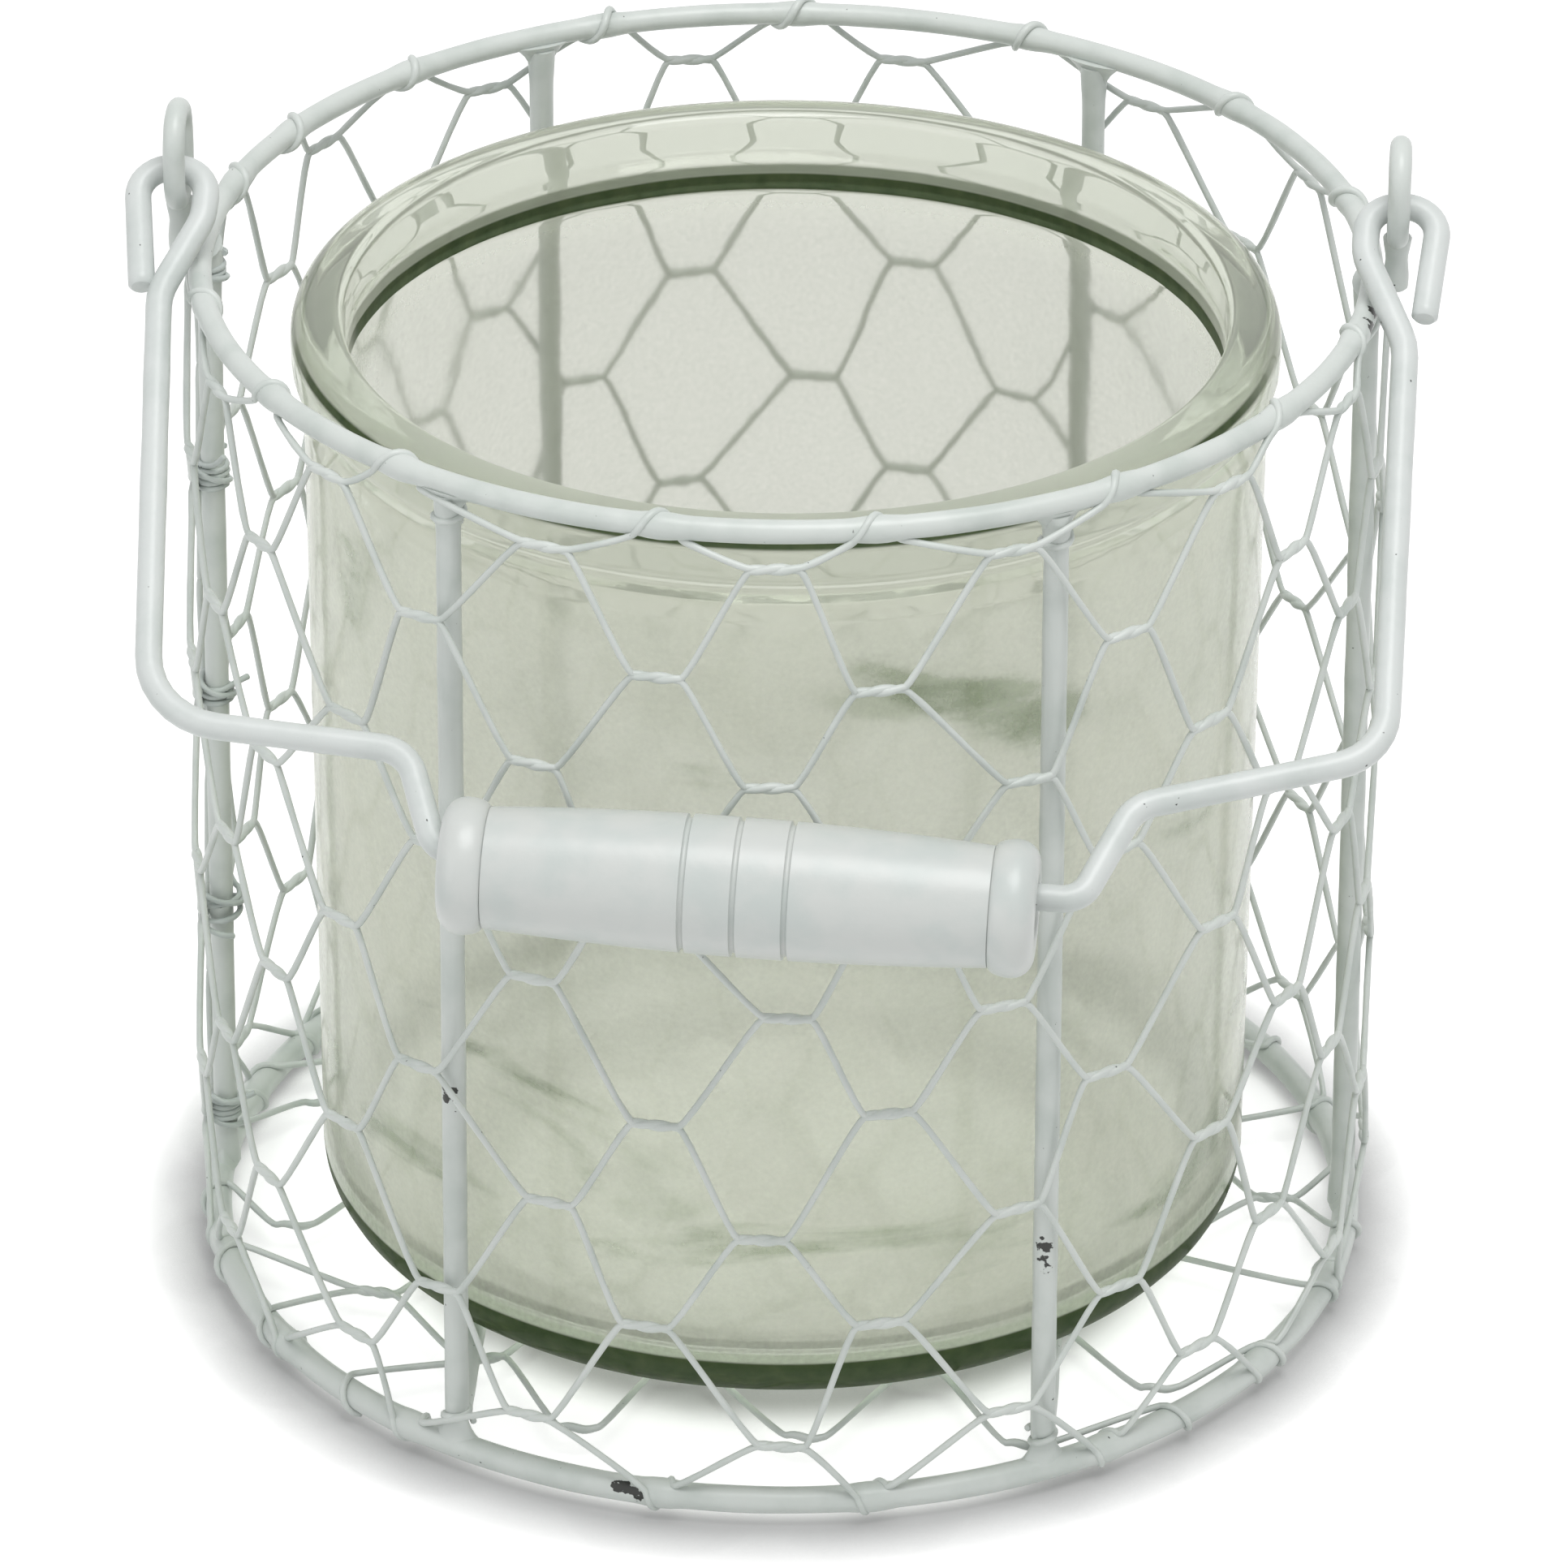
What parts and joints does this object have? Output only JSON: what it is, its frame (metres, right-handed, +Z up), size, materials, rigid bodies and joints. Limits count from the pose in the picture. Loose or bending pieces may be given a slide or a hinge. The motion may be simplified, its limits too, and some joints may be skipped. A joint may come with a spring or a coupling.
{
  "type": "jar lantern",
  "caption": "Wide glass jar standing in a round wire carrier with hexagonal netting, a wire bail hooked into two ears and a turned wooden grip.",
  "frame": {"origin": "on the floor under the centre of the carrier", "axes": "+Z up through the jar's mouth, +X through the right ear, the bail lies towards -Y"},
  "size_m": [0.1917, 0.1999, 0.1844],
  "materials": {
    "painted_frame_wire": "thick dipped white paint",
    "painted_net_wire": "white paint webbed at the twists",
    "worn_net_wire": "thin white paint over galvanised wire",
    "painted_bail_wire": "white paint",
    "painted_wood": "white paint, grooves darkened",
    "green_glass": "pressed recycled glass"
  },
  "bodies": {
    "carrier": {"top_ring": "painted_frame_wire", "base_ring": "painted_frame_wire", "rod_left": "painted_frame_wire", "rod_right": "painted_frame_wire", "post_left": "painted_frame_wire", "post_right": "painted_frame_wire", "ear_left": "painted_frame_wire", "ear_right": "painted_frame_wire", "net_top_wire": "painted_net_wire", "net_wire_1": "painted_net_wire", "net_wire_2": "painted_net_wire", "net_wire_3": "painted_net_wire", "net_wire_4": "painted_net_wire", "net_wire_5": "painted_net_wire", "net_wire_6": "painted_net_wire", "net_wire_7": "painted_net_wire", "net_wire_8": "painted_net_wire", "net_bottom_wire": "painted_net_wire", "seam_wraps": "worn_net_wire", "base_net_1": "painted_net_wire", "base_net_2": "painted_net_wire", "base_net_3": "painted_net_wire", "base_net_4": "painted_net_wire", "base_net_5": "painted_net_wire", "base_net_6": "painted_net_wire", "base_net_7": "painted_net_wire", "base_net_8": "painted_net_wire"},
    "bail": {"bail": "painted_bail_wire"},
    "grip": {"grip": "painted_wood"},
    "jar": {"jar": "green_glass"}
  },
  "joints": [
    {"name": "bail_swing", "type": "hinge", "parent": "carrier", "child": "bail", "pos_m": [0, 0, 0.17371], "axis": [-1, 0, 0], "range_deg": [0, 242.53]},
    {"name": "grip_spin", "type": "hinge", "parent": "bail", "child": "grip", "pos_m": [0, -0.09864, 0.11382], "axis": [0.9989, -0.0409, -0.0248], "continuous": true},
    {"name": "jar_lift", "type": "slide", "parent": "carrier", "child": "jar", "axis": [0, 0, 1], "range_m": [0, 0.18]}
  ]
}
